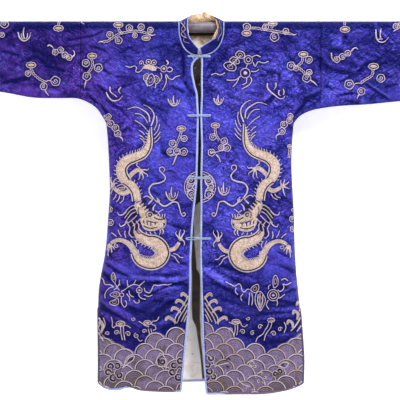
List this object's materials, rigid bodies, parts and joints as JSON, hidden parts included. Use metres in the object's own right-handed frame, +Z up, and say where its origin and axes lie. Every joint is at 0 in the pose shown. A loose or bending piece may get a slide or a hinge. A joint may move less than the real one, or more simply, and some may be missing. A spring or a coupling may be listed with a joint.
{
  "type": "chinese dragon robe on a hanging rod",
  "caption": "Front-opening satin robe with wide straight sleeves, standing collar and cord fastenings, hung flat on a round rod through the sleeves.",
  "frame": {"origin": "on the axis of the round rod that holds the robe, midway between the rod's ends", "axes": "+Z up; -Y is the robe's front; X runs along the rod, with the wearer's left sleeve at +X"},
  "size_m": [1.6, 0.0941, 1.2266],
  "materials": {
    "satin": "blue-violet satin with cream couched embroidery",
    "lining": "off-white plain cotton, yellowed",
    "collar_lining": "tan crumpled silk",
    "binding": "pale blue satin bias binding",
    "frog": "pale greenish blue silk cord",
    "rod": "grey-lilac smooth tube"
  },
  "bodies": {
    "root": {"back": "satin", "back_lining": "lining", "binding_back": "binding", "binding_left_cuff": "binding", "binding_left_front": "binding", "binding_right_cuff": "binding", "binding_right_front": "binding", "collar": "satin", "collar_lining": "collar_lining", "collar_piping": "binding", "frog_knot_1": "frog", "frog_knot_2": "frog", "frog_knot_3": "frog", "frog_knot_4": "frog", "frog_loop_1": "frog", "frog_loop_2": "frog", "frog_loop_3": "frog", "frog_loop_4": "frog", "frog_tail_1": "frog", "frog_tail_2": "frog", "frog_tail_3": "frog", "frog_tail_4": "frog", "left_front": "satin", "left_sleeve": "satin", "neck_piping": "binding", "right_front": "satin", "right_sleeve": "satin", "rod": "rod"}
  },
  "joints": []
}
